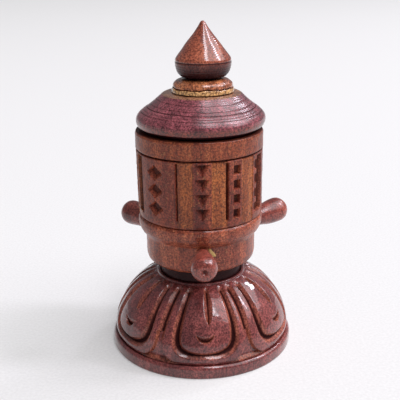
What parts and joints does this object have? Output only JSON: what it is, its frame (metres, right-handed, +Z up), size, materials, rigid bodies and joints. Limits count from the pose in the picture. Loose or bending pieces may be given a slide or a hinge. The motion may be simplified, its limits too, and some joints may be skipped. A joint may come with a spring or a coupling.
{
  "type": "tabletop prayer wheel",
  "caption": "Turned wooden tabletop prayer wheel: a chip-carved drum spins on a steel spindle over a lotus-carved domed base, with turning pegs and a lift-off lid with a drop-shaped finial.",
  "frame": {"origin": "centre of the base's underside, on the spindle's axis", "axes": "+Z up along the spindle; -Y is the front, where one peg points; +X to the right"},
  "size_m": [0.0722, 0.0745, 0.1262],
  "materials": {
    "base_wood": "gloss varnish",
    "cup_wood": "satin varnish",
    "drum_wood": "worn satin varnish",
    "peg_wood": "satin varnish",
    "lid_wood": "gloss varnish",
    "collar_wood": "satin varnish",
    "finial_wood": "gloss varnish",
    "pale_wood": "bare, matte",
    "steel": "satin",
    "brass": "satin",
    "paper": "matte",
    "cotton": "matte"
  },
  "bodies": {
    "base": {"lotus_base": "base_wood", "base_plug": "pale_wood", "spindle": "steel", "spindle_nut": "steel", "spindle_washer": "steel", "thrust_washer": "brass", "retaining_washer": "steel", "retaining_nut": "steel"},
    "wheel": {"wheel_cup": "cup_wood", "lower_bush": "brass", "peg_front": "peg_wood", "peg_right": "peg_wood", "peg_left": "peg_wood", "drum": "drum_wood", "scroll_core": "pale_wood", "mantra_scroll": "paper", "scroll_tie_lower": "cotton", "scroll_tie_upper": "cotton", "top_disc": "pale_wood", "upper_bush": "brass"},
    "lid": {"lid": "lid_wood", "finial_collar": "collar_wood", "finial": "finial_wood", "finial_dowel": "pale_wood"}
  },
  "joints": [
    {"name": "wheel_spin", "type": "hinge", "parent": "base", "child": "wheel", "pos_m": [0, 0, 0.06], "axis": [0, 0, 1], "continuous": true},
    {"name": "lid_lift", "type": "slide", "parent": "wheel", "child": "lid", "axis": [0, 0, 1], "range_m": [0, 0.04]}
  ]
}
